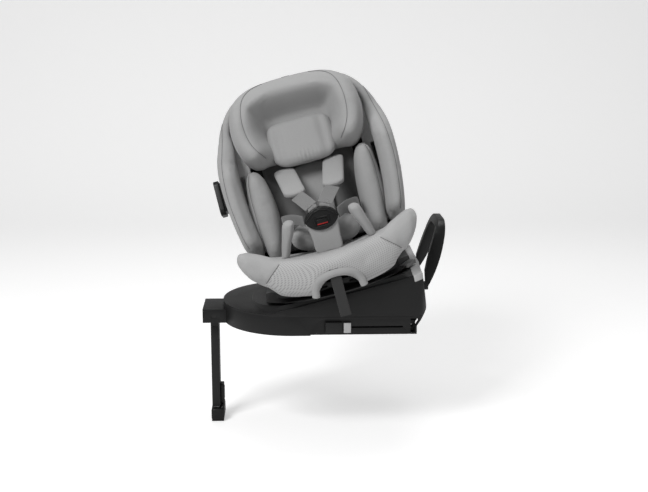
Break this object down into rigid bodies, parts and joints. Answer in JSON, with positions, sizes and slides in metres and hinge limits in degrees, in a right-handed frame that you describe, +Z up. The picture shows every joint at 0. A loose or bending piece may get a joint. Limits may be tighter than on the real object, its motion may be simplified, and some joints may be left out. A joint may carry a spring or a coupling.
{
  "type": "convertible car seat",
  "caption": "Turning and reclining child car seat on an ISOFIX base with a support leg, a rebound bar, a sliding headrest and a harness.",
  "frame": {"origin": "centre of the base's underside, on the vehicle seat's surface, midway between the two connectors", "axes": "+Z up; +X towards the back of the vehicle seat, along the connectors; the child faces -Y as the seat is turned at rest"},
  "size_m": [0.5889, 0.5194, 0.872],
  "materials": {
    "black_plastic": "fine moulded grain",
    "grey_plastic": "satin moulding",
    "light_plastic": "satin moulding",
    "bright_steel": "brushed",
    "painted_tube": "satin paint",
    "grip_rubber": "matt",
    "knit_grey": "fine knit over wadding",
    "knit_dark": "fine knit over foam",
    "webbing_grey": "woven webbing",
    "webbing_dark": "woven webbing",
    "foam_white": "beaded foam",
    "button_red": "gloss"
  },
  "bodies": {
    "base": {"base_tub": "black_plastic", "base_cover": "grey_plastic", "rear_cap": "light_plastic", "base_screws": "bright_steel", "bearing_ring": "bright_steel", "centre_post": "bright_steel", "leg_bracket": "grey_plastic", "leg_pivot_pin": "bright_steel"},
    "rebound_bar": {"rebound_bar": "black_plastic"},
    "support_leg": {"leg_knuckle": "black_plastic", "leg_outer_tube": "painted_tube", "leg_latch_housing": "black_plastic"},
    "leg_latch_button": {"leg_latch_button": "grey_plastic"},
    "leg_lower": {"leg_inner_tube": "bright_steel", "leg_foot": "black_plastic", "leg_foot_pad": "grip_rubber"},
    "isofix_left": {"isofix_arm_left": "bright_steel", "isofix_jaw_left": "black_plastic"},
    "isofix_hook_left": {"isofix_hook_left": "bright_steel"},
    "isofix_button_left": {"isofix_button_left": "light_plastic"},
    "isofix_right": {"isofix_arm_right": "bright_steel", "isofix_jaw_right": "black_plastic"},
    "isofix_hook_right": {"isofix_hook_right": "bright_steel"},
    "isofix_button_right": {"isofix_button_right": "light_plastic"},
    "turntable": {"turn_disc": "grey_plastic", "cradle": "black_plastic"},
    "rotation_button": {"rotation_button": "grey_plastic"},
    "seat": {"seat_pan": "black_plastic", "recline_runners": "bright_steel", "back_shell": "black_plastic", "side_foam": "foam_white", "guide_rods": "bright_steel", "seat_cushion": "knit_grey", "bolster_left": "knit_grey", "bolster_right": "knit_grey", "back_cover": "knit_dark", "wing_left": "knit_grey", "wing_right": "knit_grey", "torso_pad_left": "knit_grey", "torso_pad_right": "knit_grey", "insert_back": "knit_grey", "insert_seat": "knit_grey", "hip_flaps": "knit_grey", "crotch_pad": "knit_grey", "crotch_strap": "webbing_grey", "harness_webbing": "webbing_grey", "buckle_tongues": "bright_steel", "buckle_body": "black_plastic", "adjuster_housing": "black_plastic", "adjuster_strap": "webbing_dark"},
    "recline_lever": {"recline_lever": "black_plastic"},
    "adjuster_button": {"adjuster_button": "grey_plastic"},
    "buckle_button": {"buckle_button": "button_red"},
    "sip_left": {"sip_pad_left": "black_plastic"},
    "sip_right": {"sip_pad_right": "black_plastic"},
    "headrest": {"headrest_carrier": "black_plastic", "headrest_pad": "knit_grey", "headrest_pillow": "knit_grey", "shoulder_pads": "knit_grey"},
    "headrest_lever": {"headrest_lever": "black_plastic"}
  },
  "joints": [
    {"name": "rebound_bar_reach", "type": "slide", "parent": "base", "child": "rebound_bar", "axis": [1, 0, 0], "range_m": [0, 0.045]},
    {"name": "leg_fold", "type": "hinge", "parent": "base", "child": "support_leg", "pos_m": [-0.274, 0, 0.016], "axis": [0, -1, 0], "range_deg": [0, 90]},
    {"name": "leg_extension", "type": "slide", "parent": "support_leg", "child": "leg_lower", "axis": [0, 0, -1], "range_m": [0, 0.15]},
    {"name": "leg_latch_press", "type": "slide", "parent": "support_leg", "child": "leg_latch_button", "axis": [-1, 0, 0], "range_m": [0, 0.003], "stiffness_N_per_m": 400},
    {"name": "isofix_left_reach", "type": "slide", "parent": "base", "child": "isofix_left", "axis": [1, 0, 0], "range_m": [0, 0.125]},
    {"name": "isofix_left_hook", "type": "hinge", "parent": "isofix_left", "child": "isofix_hook_left", "pos_m": [0.174, -0.14, 0.024], "axis": [0, -1, 0], "range_deg": [0, 25], "stiffness_Nm_per_rad": 0.2},
    {"name": "isofix_left_release", "type": "slide", "parent": "isofix_left", "child": "isofix_button_left", "axis": [0, 1, 0], "range_m": [0, 0.003], "stiffness_N_per_m": 400},
    {"name": "isofix_right_reach", "type": "slide", "parent": "base", "child": "isofix_right", "axis": [1, 0, 0], "range_m": [0, 0.125]},
    {"name": "isofix_right_hook", "type": "hinge", "parent": "isofix_right", "child": "isofix_hook_right", "pos_m": [0.174, 0.14, 0.024], "axis": [0, -1, 0], "range_deg": [0, 25], "stiffness_Nm_per_rad": 0.2},
    {"name": "isofix_right_release", "type": "slide", "parent": "isofix_right", "child": "isofix_button_right", "axis": [0, -1, 0], "range_m": [0, 0.003], "stiffness_N_per_m": 400},
    {"name": "turn", "type": "hinge", "parent": "base", "child": "turntable", "pos_m": [0.041, 0, 0.07], "axis": [-0.2588, 0, 0.9659], "continuous": true, "deforming": ["adjuster_strap"]},
    {"name": "rotation_button_press", "type": "slide", "parent": "turntable", "child": "rotation_button", "axis": [-0.7815, 0.5878, -0.2094], "range_m": [0, 0.003], "stiffness_N_per_m": 400},
    {"name": "recline", "type": "hinge", "parent": "turntable", "child": "seat", "pos_m": [-0.08064, 0, 0.52399], "axis": [-0.9659, 0, -0.2588], "range_deg": [0, 13]},
    {"name": "recline_lever_pull", "type": "slide", "parent": "seat", "child": "recline_lever", "axis": [0, -1, 0], "range_m": [0, 0.012], "stiffness_N_per_m": 400},
    {"name": "adjuster_press", "type": "slide", "parent": "seat", "child": "adjuster_button", "axis": [0, 1, 0], "range_m": [0, 0.0025], "stiffness_N_per_m": 400},
    {"name": "buckle_press", "type": "slide", "parent": "seat", "child": "buckle_button", "axis": [0, 1, 0], "range_m": [0, 0.003], "stiffness_N_per_m": 400},
    {"name": "side_pad_left", "type": "slide", "parent": "seat", "child": "sip_left", "axis": [0.9659, 0, 0.2588], "range_m": [0, 0.0235]},
    {"name": "side_pad_right", "type": "slide", "parent": "seat", "child": "sip_right", "axis": [-0.9659, 0, -0.2588], "range_m": [-0.0235, 0]},
    {"name": "headrest_height", "type": "slide", "parent": "seat", "child": "headrest", "axis": [-0.2432, 0.342, 0.9077], "range_m": [0, 0.15]},
    {"name": "headrest_release", "type": "slide", "parent": "headrest", "child": "headrest_lever", "axis": [-0.2432, 0.342, 0.9077], "range_m": [0, 0.006], "stiffness_N_per_m": 400}
  ]
}
